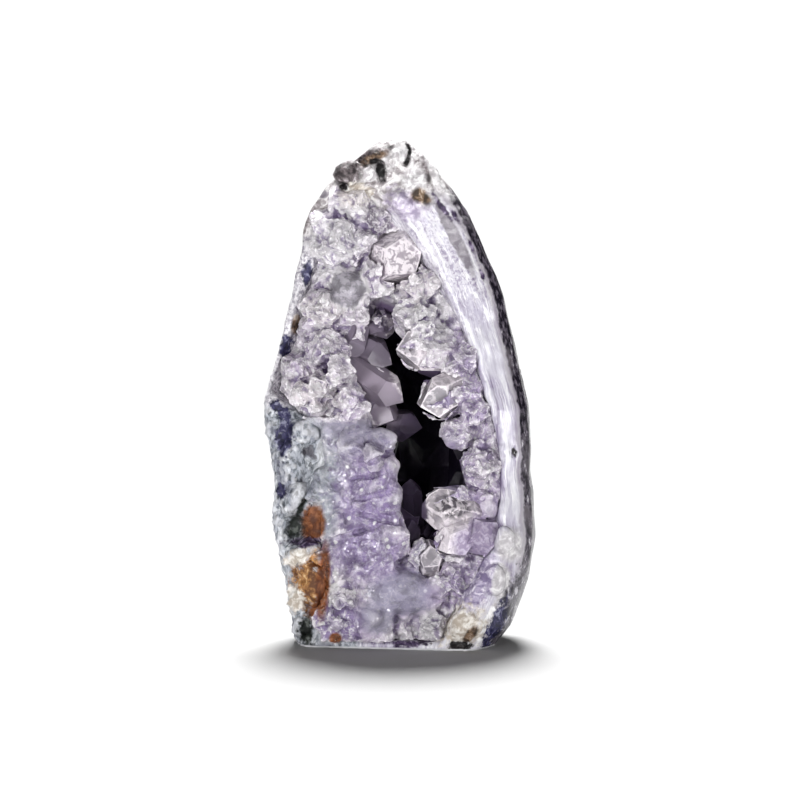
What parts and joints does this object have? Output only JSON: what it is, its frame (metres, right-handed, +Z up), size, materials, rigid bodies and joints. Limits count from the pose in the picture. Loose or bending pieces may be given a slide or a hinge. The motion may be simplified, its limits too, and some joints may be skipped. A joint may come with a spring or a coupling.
{
  "type": "amethyst geode with agate rind",
  "caption": "Small free-standing geode, cut flat underneath: a dark rind with a pale agate band around an open hollow lined with lilac and clear quartz crystals.",
  "frame": {"origin": "middle of the box around the object, on the plane of its flat cut base", "axes": "+Z up along the height, +X to the right and +Y away from the viewer who looks into the hollow"},
  "size_m": [0.0674, 0.0468, 0.125],
  "materials": {
    "agate": "polished where it is cut, rough and mottled elsewhere: dark rind, pale banded agate, rusty and cream patches low on the left",
    "amethyst": "clear to cloudy lilac quartz with glassy faces"
  },
  "bodies": {
    "root": {"agate_shell": "agate", "crystal_crust": "amethyst"}
  },
  "joints": []
}
